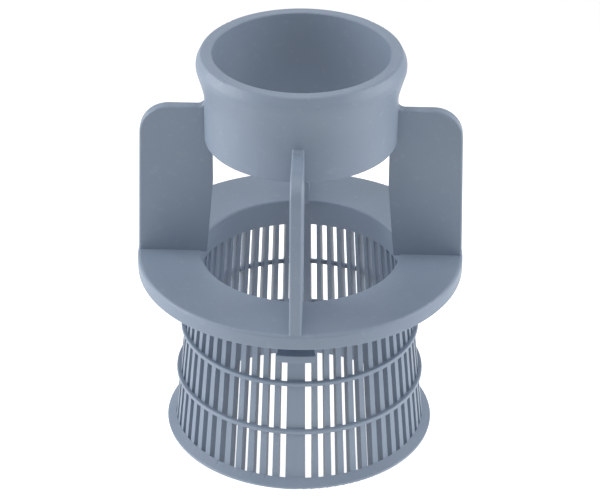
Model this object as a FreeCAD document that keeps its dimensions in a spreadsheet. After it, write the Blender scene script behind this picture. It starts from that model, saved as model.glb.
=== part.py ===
import FreeCAD
import Part
import Sketcher
import math
import os
import re

from FreeCAD import Placement, Rotation, Vector

# Inlet filter of a dishwasher, moulded in one piece: a tube collar on four wings, a flange,
# and a slotted conical basket under it.
# The origin is on the axis, in the plane of the base. Z is up, and the wings point along X and Y.

# Driving sizes in millimetres and degrees; a height without a reference is measured from the base
SIZES = {
    # flange
    "brim_radius": 45.0,
    "brim_height": 55.0,
    "brim_thick": 4.4,
    "brim_round": 1.0,
    "brim_under_round": 0.4,
    "brim_bore_radius": 27.4,
    "brim_bore_round": 0.5,
    # basket wall, a cone that widens towards the base
    "basket_flare": 5.4,
    "basket_wall": 2.6,
    "basket_blend": 1.0,
    # slots through the basket wall
    "slot_width": 1.85,
    "slot_pitch": 6.0,
    "slots_per_side": 14,
    "slot_top_drop": 8.2,
    "slot_bottom_height": 2.7,
    "slot_overcut": 1.5,
    "slot_clear": 0.1,
    # hoops round the bars
    "hoop_proud": 1.0,
    "hoop_thick": 1.3,
    "upper_hoop_height": 31.2,
    "lower_hoop_height": 16.5,
    "hoop_round": 0.4,
    # base rim
    "rim_radius": 37.7,
    "rim_edge": 1.1,
    "rim_round": 0.3,
    "rim_taper": 0.3,
    "rim_foot_round": 0.7,
    # collar
    "window_height": 35.5,
    "collar_height": 25.45,
    "bore_radius": 23.85,
    "collar_radius": 26.1,
    "lip_radius": 26.9,
    "lip_round": 0.8,
    "bead_radius": 28.2,
    "shoulder_drop": 2.6,
    "shoulder_round": 3.0,
    "bead_drop": 4.2,
    "bead_round": 1.5,
    "neck_drop": 11.4,
    "neck_round": 15.0,
    "collar_edge_round": 0.4,
    # wings
    "wing_thick": 3.3,
    "wing_height": 44.5,
    "wing_top_reach": 43.5,
    "wing_foot_reach": 44.7,
    "wing_corner": 8.0,
    "wing_throat": 2.2,
    "wing_round": 0.6,
    "wing_inner_foot": 25.8,
    "wing_bend_height": 21.0,
    "wing_foot_depth": 0.4,
    "wing_foot_round": 0.4,
    "wing_step": 0.15,
    "wing_embed": 0.3,
    # lug under the flange
    "lug_angle": 16.6,
    "lug_radius": 36.6,
    "lug_thick": 2.3,
    "lug_top_height": 43.3,
    "lug_round": 0.3,
    "lug_seat": 0.3,
}

WINGS = 4
QUADRANTS = 4
FULL_TURN = 360
TOUCHING = 1e-6

doc = FreeCAD.newDocument("InletFilter")


def make_sheet():
    """Writes the driving sizes into the sheet, one named cell each."""
    sheet = doc.addObject("Spreadsheet::Sheet", "Sizes")
    for row, (name, value) in enumerate(SIZES.items(), start=1):
        sheet.set(f"A{row}", name)
        sheet.set(f"B{row}", str(value))
        sheet.setAlias(f"B{row}", name)
    doc.recompute()


def size(name):
    """A driving size as the sheet holds it."""
    return float(doc.getObject("Sizes").get(name))


def bound(text):
    """The expression with each size's name led back to its cell."""
    return re.sub(r"[a-z_]+", lambda word: f"Sizes.{word[0]}" if word[0] in SIZES else word[0], text)


def origin_feature(body, role):
    """One of the body's own origin planes or axes."""
    return next(item for item in body.Origin.OriginFeatures if item.Role == role)


def add_sketch(body, name, plane):
    """An empty sketch on one of the body's origin planes."""
    sketch = body.newObject("Sketcher::SketchObject", name)
    sketch.AttachmentSupport = (origin_feature(body, plane), "")
    sketch.MapMode = "FlatFace"
    return sketch


def pin_point(sketch, name, element, vertex, across, up):
    """Binds a point of the sketch to two expressions."""
    for kind, text in (("DistanceX", across), ("DistanceY", up)):
        value = float(sketch.evalExpression(bound(text)))
        number = sketch.addConstraint(Sketcher.Constraint(kind, -1, 1, element, vertex, value))
        label = f"{name}_{kind[-1].lower()}"
        sketch.renameConstraint(number, label)
        sketch.setExpression(f"Constraints.{label}", bound(text))


def turn_points(before, corner, after, radius):
    """Where a round of this radius leaves the two sides of a corner, and the middle of its arc."""
    first = (before - corner).normalize()
    second = (after - corner).normalize()
    half = first.getAngle(second) / 2
    reach = radius / math.tan(half)
    centre = corner + (first + second).normalize() * (radius / math.sin(half))
    middle = centre + (corner - centre).normalize() * radius
    return corner + first * reach, middle, corner + second * reach


def add_outline(sketch, corners):
    """Draws a closed outline. A corner is two expressions, and a third is the radius that rounds it."""
    count = len(corners)
    places = []
    for corner in corners:
        values = [float(sketch.evalExpression(bound(text))) for text in corner]
        places.append(Vector(values[0], values[1], 0))
    leave, arrive, arcs, radii = list(places), list(places), {}, {}
    for index, corner in enumerate(corners):
        if len(corner) == 3:
            radius = float(sketch.evalExpression(bound(corner[2])))
            points = turn_points(places[index - 1], places[index], places[(index + 1) % count], radius)
            arrive[index], middle, leave[index] = points
            arcs[index] = Part.Arc(arrive[index], middle, leave[index])
            radii[index] = radius
    sides = []
    for index in range(count):
        line = Part.LineSegment(leave[index], arrive[(index + 1) % count])
        sides.append(sketch.addGeometry(line, False))
    for index, corner in enumerate(corners):
        before, after = sides[index - 1], sides[index]
        if index not in arcs:
            sketch.addConstraint(Sketcher.Constraint("Coincident", before, 2, after, 1))
            pin_point(sketch, f"corner{index}", after, 1, corner[0], corner[1])
            continue
        arc = sketch.addGeometry(arcs[index], False)
        starts_here = sketch.getPoint(arc, 1).distanceToPoint(arrive[index]) < TOUCHING
        first, last = (1, 2) if starts_here else (2, 1)
        apex = sketch.addGeometry(Part.Point(places[index]), True)
        sketch.addConstraint(Sketcher.Constraint("Tangent", before, 2, arc, first))
        sketch.addConstraint(Sketcher.Constraint("Tangent", after, 1, arc, last))
        sketch.addConstraint(Sketcher.Constraint("PointOnObject", apex, 1, before))
        sketch.addConstraint(Sketcher.Constraint("PointOnObject", apex, 1, after))
        pin_point(sketch, f"corner{index}", apex, 1, corner[0], corner[1])
        number = sketch.addConstraint(Sketcher.Constraint("Radius", arc, radii[index]))
        sketch.renameConstraint(number, f"round{index}")
        sketch.setExpression(f"Constraints.round{index}", bound(corner[2]))


def inner_radius(height):
    """The basket's inner radius at a height."""
    return f"(brim_bore_radius + basket_flare * (brim_height - ({height})) / brim_height)"


def outer_radius(height):
    """The basket's outer radius at a height."""
    return f"({inner_radius(height)} + basket_wall)"


def revolve(body, name, corners):
    """A ring from an outline in the XZ plane."""
    sketch = add_sketch(body, f"{name}_outline", "XZ_Plane")
    add_outline(sketch, corners)
    ring = body.newObject("PartDesign::Revolution", name)
    ring.Profile = sketch
    ring.ReferenceAxis = (origin_feature(body, "Z_Axis"), [""])
    ring.Angle = FULL_TURN
    doc.recompute()


def hoop_corners(height):
    """A hoop's corners in the basket's outline, from its upper edge down; the height is its lower edge."""
    top = f"({height} + hoop_thick)"
    reach = f"({outer_radius(height)} + hoop_proud)"
    return [
        (outer_radius(top), top),
        (reach, top, "hoop_round"),
        (reach, height, "hoop_round"),
        (outer_radius(height), height),
    ]


def add_flange_and_basket(body):
    """The flange, the basket wall with its two hoops and the base rim, in one outline."""
    under = "(brim_height - brim_thick)"
    ledge = "slot_bottom_height"
    revolve(body, "flange_and_basket", [
        ("brim_bore_radius", "brim_height", "brim_bore_round"),
        ("brim_radius", "brim_height", "brim_round"),
        ("brim_radius", under, "brim_under_round"),
        (outer_radius(under), under, "basket_blend"),
        *hoop_corners("upper_hoop_height"),
        *hoop_corners("lower_hoop_height"),
        (outer_radius(ledge), ledge),
        ("rim_radius", "rim_edge", "rim_round"),
        ("rim_radius - rim_taper", "0", "rim_foot_round"),
        (inner_radius("0"), "0"),
    ])


def add_wings(body):
    """Four flat wings, each a plate in a plane through the axis, with rounded edges."""
    foot = "(brim_height - wing_foot_depth)"
    top = "(brim_height + wing_height)"
    inside = "(bore_radius + wing_step)"
    wall = "(collar_radius - wing_embed)"
    sketch = add_sketch(body, "wing_outline", "XZ_Plane")
    add_outline(sketch, [
        ("wing_inner_foot", foot, "wing_foot_round"),
        (inside, "brim_height + wing_bend_height"),
        (inside, f"{top} + wing_throat + wing_embed"),
        (wall, f"{top} + wing_throat + wing_embed"),
        (wall, top, "wing_throat"),
        ("wing_top_reach", top, "wing_corner"),
        ("wing_foot_reach", foot),
    ])
    wing = body.newObject("PartDesign::Pad", "wing")
    wing.Profile = sketch
    wing.setExpression("Length", bound("wing_thick"))
    wing.SideType = "Symmetric"
    doc.recompute()
    soft = body.newObject("PartDesign::Fillet", "wing_rounds")
    soft.Base = (wing, wing_edges(wing.Shape))
    soft.setExpression("Radius", bound("wing_round"))
    doc.recompute()
    turn = body.newObject("PartDesign::PolarPattern", "wings")
    turn.TransformMode = "Whole shape"
    turn.Originals = []
    turn.Axis = (origin_feature(body, "Z_Axis"), [""])
    turn.Angle = FULL_TURN
    turn.Occurrences = WINGS
    body.Tip = turn
    doc.recompute()


def wing_edges(shape):
    """The names of the edges round the outer side of the wing, on both faces."""
    half = size("wing_thick") / 2
    reach = size("collar_radius") - size("wing_embed") - TOUCHING
    names = []
    for number, edge in enumerate(shape.Edges, start=1):
        ends = [edge.valueAt(edge.FirstParameter), edge.valueAt(edge.LastParameter)]
        on_face = all(abs(abs(point.y) - half) < TOUCHING for point in ends)
        one_face = ends[0].y * ends[1].y > 0
        rises = abs(ends[0].z - ends[1].z) > TOUCHING or ends[0].z > size("brim_height")
        if on_face and one_face and rises and min(point.x for point in ends) > reach:
            names.append(f"Edge{number}")
    return names


def add_collar(body):
    """The collar, a tube with a beaded rim."""
    low = "(brim_height + window_height)"
    top = f"({low} + collar_height)"
    revolve(body, "collar", [
        ("bore_radius", low),
        ("collar_radius", low, "collar_edge_round"),
        ("collar_radius", f"{top} - neck_drop", "neck_round"),
        ("bead_radius", f"{top} - bead_drop", "bead_round"),
        ("bead_radius", f"{top} - shoulder_drop", "shoulder_round"),
        ("lip_radius", top, "lip_round"),
        ("bore_radius", top, "collar_edge_round"),
    ])


def add_lug(body):
    """The lug at the front, curved to the filter's axis."""
    sketch = add_sketch(body, "lug_outline", "YZ_Plane")
    low = "(lug_top_height - lug_thick)"
    root = f"lug_seat - {outer_radius('lug_top_height')}"
    add_outline(sketch, [
        (root, "lug_top_height"),
        ("-lug_radius", "lug_top_height", "lug_round"),
        ("-lug_radius", low, "lug_round"),
        (root, low),
    ])
    lug = body.newObject("PartDesign::Revolution", "lug")
    lug.Profile = sketch
    lug.ReferenceAxis = (origin_feature(body, "Z_Axis"), [""])
    lug.setExpression("Angle", bound("lug_angle"))
    lug.Midplane = True
    doc.recompute()


def add_slots(body):
    """One radial slot, repeated beside itself and then in each quadrant, which leaves four wide bars.

    The slots run out through the base inside the rim, so that the moulding's core can pull out.
    """
    sketch = add_sketch(body, "slot_outline", "XZ_Plane")
    sketch.AttachmentOffset = Placement(Vector(0, 0, 0), Rotation(Vector(0, 1, 0), size("slot_pitch")))
    sketch.setExpression("AttachmentOffset.Rotation.Angle", bound("slot_pitch"))
    low = "slot_bottom_height"
    top = "(brim_height - slot_top_drop)"
    add_outline(sketch, [
        (f"{inner_radius('0')} - slot_overcut", "-slot_clear"),
        (f"{outer_radius(low)} + slot_clear", "-slot_clear"),
        (f"{outer_radius(low)} + slot_clear", low),
        (f"{outer_radius(top)} + slot_clear", top),
        (f"{inner_radius(top)} - slot_overcut", top),
    ])
    slot = body.newObject("PartDesign::Pocket", "slot")
    slot.Profile = sketch
    slot.setExpression("Length", bound("slot_width"))
    slot.SideType = "Symmetric"
    doc.recompute()
    row = body.newObject("PartDesign::MultiTransform", "slots")
    row.Originals = [slot]
    row.Refine = False
    beside = body.newObject("PartDesign::PolarPattern", "slots_beside")
    beside.Axis = (origin_feature(body, "Z_Axis"), [""])
    beside.setExpression("Angle", bound("slot_pitch * (slots_per_side - 1)"))
    beside.setExpression("Occurrences", bound("slots_per_side"))
    around = body.newObject("PartDesign::PolarPattern", "slots_around")
    around.Axis = (origin_feature(body, "Z_Axis"), [""])
    around.Angle = FULL_TURN
    around.Occurrences = QUADRANTS
    row.Transformations = [beside, around]
    body.Tip = row
    doc.recompute()


def check(body):
    """Stops the build when a feature failed, or when the moulding isn't one sound solid."""
    for item in doc.Objects:
        if "Invalid" in item.State or "Error" in item.State:
            raise RuntimeError(f"{item.Name} failed: {item.State}")
    if body.Shape.isNull() or not body.Shape.isValid():
        raise RuntimeError(f"{body.Label} has no valid shape")
    if len(body.Shape.Solids) != 1:
        raise RuntimeError(f"{body.Label} has {len(body.Shape.Solids)} solids, and it's moulded as one")


def main():
    make_sheet()
    body = doc.addObject("PartDesign::Body", "FilterBody")
    body.Label = "filter_body"
    # the wings come first and stand apart until the flange joins them
    body.AllowCompound = True
    for step in (add_wings, add_flange_and_basket, add_collar, add_lug, add_slots):
        step(body)
    check(body)
    os.makedirs("parts", exist_ok=True)
    body.Shape.exportStep("parts/filter_body.step")


main()
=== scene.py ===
import math

import bmesh
import bpy
from mathutils import Matrix, Vector


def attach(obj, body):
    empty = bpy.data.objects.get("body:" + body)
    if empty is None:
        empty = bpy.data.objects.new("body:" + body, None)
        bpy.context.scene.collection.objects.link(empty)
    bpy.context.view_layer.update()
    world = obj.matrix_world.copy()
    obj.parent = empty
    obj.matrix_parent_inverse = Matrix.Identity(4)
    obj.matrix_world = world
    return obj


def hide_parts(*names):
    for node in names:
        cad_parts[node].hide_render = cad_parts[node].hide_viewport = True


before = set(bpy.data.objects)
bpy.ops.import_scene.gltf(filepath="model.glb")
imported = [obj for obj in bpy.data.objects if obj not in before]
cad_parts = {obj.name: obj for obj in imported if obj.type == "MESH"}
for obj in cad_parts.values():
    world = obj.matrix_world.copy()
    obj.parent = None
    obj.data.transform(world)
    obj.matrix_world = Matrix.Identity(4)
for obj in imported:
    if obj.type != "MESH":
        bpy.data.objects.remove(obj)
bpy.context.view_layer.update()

NODE = "filter_body"

# Camera: where the photograph was taken from, in metres and degrees; lens and sensor in millimetres
CAMERA_PLACE = (0.017056, -0.628813, 0.426892)
CAMERA_AZIMUTH = 1.56
CAMERA_ELEVATION = 30.61
CAMERA_ROLL = 0.39
LENS = 158.17
SENSOR = 36.0
NEAR_CLIP = 0.01
FAR_CLIP = 20

# Studio: the surround's strength, the point that the soft boxes face, and the boxes,
# each with its name, place in metres, width and height in metres, and watts
SURROUND = 0.17
LIT_POINT = (0, 0, 0.06)
BOXES = (
    ("left_box", (-0.9, 0, 0.4), (0.8, 0.8), 9.8),
    ("right_box", (0.9, 0, 0.4), (0.8, 0.8), 7.6),
    ("overhead_box", (0, 0, 1.2), (0.5, 0.5), 2.6),
    ("top_front_box", (0, -0.5, 1.1), (0.8, 0.5), 2.6),
    ("front_box", (0, -0.95, 0.35), (1.0, 0.3), 0.3),
    ("rear_box", (0, 0.9, 0.7), (1.2, 0.7), 2.4),
)

# Floor: from its middle to its edge in metres, its surface, and the strength of its glow,
# which falls from near to far between two distances from the filter's axis
FLOOR_REACH = 6
FLOOR_GREY = (0.5, 0.5, 0.5, 1)
FLOOR_ROUGHNESS = 0.9
FLOOR_SPECULAR = 0.1
GLOW_DISTANCES = (0.06, 0.3)
GLOW_STRENGTHS = (0.9, 0.45)
WHITE = (1, 1, 1, 1)

# Noises: size per metre, detail and roughness
FLOW_NOISE = (32, 3, 0.55)
SCUFF_NOISE = (420, 8, 0.62)
GRAIN_NOISE = (2600, 2, 0.5)

# Plastic: its colours with their places in the flow noise, its scuffs, and its gloss and grain
PLASTIC_IOR = 1.49
PLASTIC_SPECULAR = 0.5
FLOW_COLOURS = (
    (0.3, (0.192, 0.243, 0.322, 1)),
    (0.7, (0.216, 0.268, 0.342, 1)),
)
SCUFF_COLOUR = (0.30, 0.35, 0.43, 1)
SCUFF_LEVELS = (0.58, 0.72)
SCUFF_COVER = (0, 0.3)
GRAIN_LEVELS = (0.25, 0.75)
GRAIN_ROUGHNESS = (0.40, 0.54)
GRAIN_STRENGTH = 0.25
GRAIN_DEPTH = 0.0001

# Moulding: points to merge and edges to soften, in metres, with angles in degrees
MERGE_DISTANCE = 1e-6
FLAT_ANGLE = 0.4
EDGE_WIDTH = 0.00012
EDGE_SEGMENTS = 2
EDGE_ANGLE = 35
SHADING_WEIGHT = 60


def add_camera():
    """The camera at the photograph's viewing angle."""
    azimuth = math.radians(CAMERA_AZIMUTH)
    elevation = math.radians(CAMERA_ELEVATION)
    roll = math.radians(CAMERA_ROLL)
    back = Vector((
        math.sin(azimuth) * math.cos(elevation),
        -math.cos(azimuth) * math.cos(elevation),
        math.sin(elevation),
    ))
    right = Vector((math.cos(azimuth), math.sin(azimuth), 0))
    up = back.cross(right)
    rolled_right = right * math.cos(roll) + up * math.sin(roll)
    rolled_up = up * math.cos(roll) - right * math.sin(roll)
    data = bpy.data.cameras.new("camera")
    data.lens = LENS
    data.sensor_width = SENSOR
    data.clip_start = NEAR_CLIP
    data.clip_end = FAR_CLIP
    camera = bpy.data.objects.new("camera", data)
    turn = Matrix((rolled_right, rolled_up, back)).transposed().to_4x4()
    camera.matrix_world = Matrix.Translation(CAMERA_PLACE) @ turn
    bpy.context.collection.objects.link(camera)
    bpy.context.scene.camera = camera


def add_material(name):
    """A node material with its nodes, links and shader."""
    material = bpy.data.materials.new(name)
    material.use_nodes = True
    tree = material.node_tree
    return material, tree.nodes, tree.links, tree.nodes["Principled BSDF"]


def add_noise(nodes, links, place, noise_values):
    """A noise texture in the object's own space."""
    noise = nodes.new("ShaderNodeTexNoise")
    for socket, value in zip(("Scale", "Detail", "Roughness"), noise_values):
        noise.inputs[socket].default_value = value
    links.new(place.outputs["Object"], noise.inputs["Vector"])
    return noise.outputs["Fac"]


def add_range(nodes, links, value, source, target, curve="LINEAR"):
    """A value led from one range to another."""
    step = nodes.new("ShaderNodeMapRange")
    step.interpolation_type = curve
    step.inputs["From Min"].default_value, step.inputs["From Max"].default_value = source
    step.inputs["To Min"].default_value, step.inputs["To Max"].default_value = target
    links.new(value, step.inputs["Value"])
    return step.outputs["Result"]


def add_mix(nodes, links, factor, base, top_colour):
    """A colour laid over another by a factor."""
    mix = nodes.new("ShaderNodeMix")
    mix.data_type = "RGBA"
    mix.inputs["B"].default_value = top_colour
    links.new(factor, mix.inputs["Factor"])
    links.new(base, mix.inputs["A"])
    return mix.outputs["Result"]


def plastic():
    """Blue-grey moulded plastic: satin, with flow shading, faint scuffs and a fine grain."""
    material, nodes, links, shader = add_material("moulded_plastic")
    shader.inputs["IOR"].default_value = PLASTIC_IOR
    shader.inputs["Specular IOR Level"].default_value = PLASTIC_SPECULAR
    place = nodes.new("ShaderNodeTexCoord")

    flow = add_noise(nodes, links, place, FLOW_NOISE)
    ramp = nodes.new("ShaderNodeValToRGB")
    for element, (position, colour) in zip(ramp.color_ramp.elements, FLOW_COLOURS):
        element.position = position
        element.color = colour
    links.new(flow, ramp.inputs["Fac"])

    scuffs = add_noise(nodes, links, place, SCUFF_NOISE)
    cover = add_range(nodes, links, scuffs, SCUFF_LEVELS, SCUFF_COVER)
    scuffed = add_mix(nodes, links, cover, ramp.outputs["Color"], SCUFF_COLOUR)
    links.new(scuffed, shader.inputs["Base Color"])

    grain = add_noise(nodes, links, place, GRAIN_NOISE)
    roughness = add_range(nodes, links, grain, GRAIN_LEVELS, GRAIN_ROUGHNESS)
    links.new(roughness, shader.inputs["Roughness"])
    bump = nodes.new("ShaderNodeBump")
    bump.inputs["Strength"].default_value = GRAIN_STRENGTH
    bump.inputs["Distance"].default_value = GRAIN_DEPTH
    links.new(grain, bump.inputs["Height"])
    links.new(bump.outputs["Normal"], shader.inputs["Normal"])
    return material


def paper():
    """The pale matt floor, with a painted glow of light that is stronger where the filter stands.
    """
    material, nodes, links, shader = add_material("pale_floor")
    shader.inputs["Base Color"].default_value = FLOOR_GREY
    shader.inputs["Roughness"].default_value = FLOOR_ROUGHNESS
    shader.inputs["Specular IOR Level"].default_value = FLOOR_SPECULAR
    shader.inputs["Emission Color"].default_value = WHITE
    place = nodes.new("ShaderNodeTexCoord")
    length = nodes.new("ShaderNodeVectorMath")
    length.operation = "LENGTH"
    links.new(place.outputs["Object"], length.inputs[0])
    distance = length.outputs["Value"]
    # painted light: the floor glows though it is no lamp, brightest near the filter's axis
    glow = add_range(nodes, links, distance, GLOW_DISTANCES, GLOW_STRENGTHS, "SMOOTHSTEP")
    links.new(glow, shader.inputs["Emission Strength"])
    return material


def add_moulding(material):
    """The moulding with softened edges, in place of the plain solid."""
    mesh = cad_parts[NODE].data.copy()
    mesh.name = "moulding"
    piece = bpy.data.objects.new("moulding", mesh)
    bpy.context.collection.objects.link(piece)
    mesh.materials.clear()
    mesh.materials.append(material)
    work = bmesh.new()
    work.from_mesh(mesh)
    bmesh.ops.remove_doubles(work, verts=work.verts, dist=MERGE_DISTANCE)
    flat = math.radians(FLAT_ANGLE)
    bmesh.ops.dissolve_limit(work, angle_limit=flat, verts=work.verts, edges=work.edges)
    work.to_mesh(mesh)
    work.free()
    soften = piece.modifiers.new("soft_edges", "BEVEL")
    soften.width = EDGE_WIDTH
    soften.segments = EDGE_SEGMENTS
    soften.limit_method = "ANGLE"
    soften.angle_limit = math.radians(EDGE_ANGLE)
    soften.use_clamp_overlap = True
    mesh.shade_smooth()
    even = piece.modifiers.new("even_shading", "WEIGHTED_NORMAL")
    even.weight = SHADING_WEIGHT
    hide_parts(NODE)
    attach(piece, "root")


def add_floor():
    """A plain pale floor, with a painted glow of light around the filter."""
    work = bmesh.new()
    bmesh.ops.create_grid(work, x_segments=1, y_segments=1, size=FLOOR_REACH)
    mesh = bpy.data.meshes.new("floor")
    work.to_mesh(mesh)
    work.free()
    mesh.materials.append(paper())
    floor = bpy.data.objects.new("floor", mesh)
    bpy.context.collection.objects.link(floor)


def add_light(name, place, size, power):
    """A large soft light that faces the filter."""
    data = bpy.data.lights.new(name, "AREA")
    data.shape = "RECTANGLE"
    data.size, data.size_y = size
    data.energy = power
    lamp = bpy.data.objects.new(name, data)
    lamp.location = place
    lamp.rotation_mode = "QUATERNION"
    lamp.rotation_quaternion = (Vector(place) - Vector(LIT_POINT)).to_track_quat("Z", "Y")
    bpy.context.collection.objects.link(lamp)


def add_studio():
    """Soft white light from above and all sides, and a dim white surround."""
    world = bpy.data.worlds.new("studio")
    bpy.context.scene.world = world
    world.use_nodes = True
    sky = world.node_tree.nodes["Background"]
    sky.inputs["Color"].default_value = WHITE
    sky.inputs["Strength"].default_value = SURROUND
    for box in BOXES:
        add_light(*box)


bpy.context.scene.view_settings.view_transform = "Standard"
add_camera()
add_studio()
add_floor()
add_moulding(plastic())
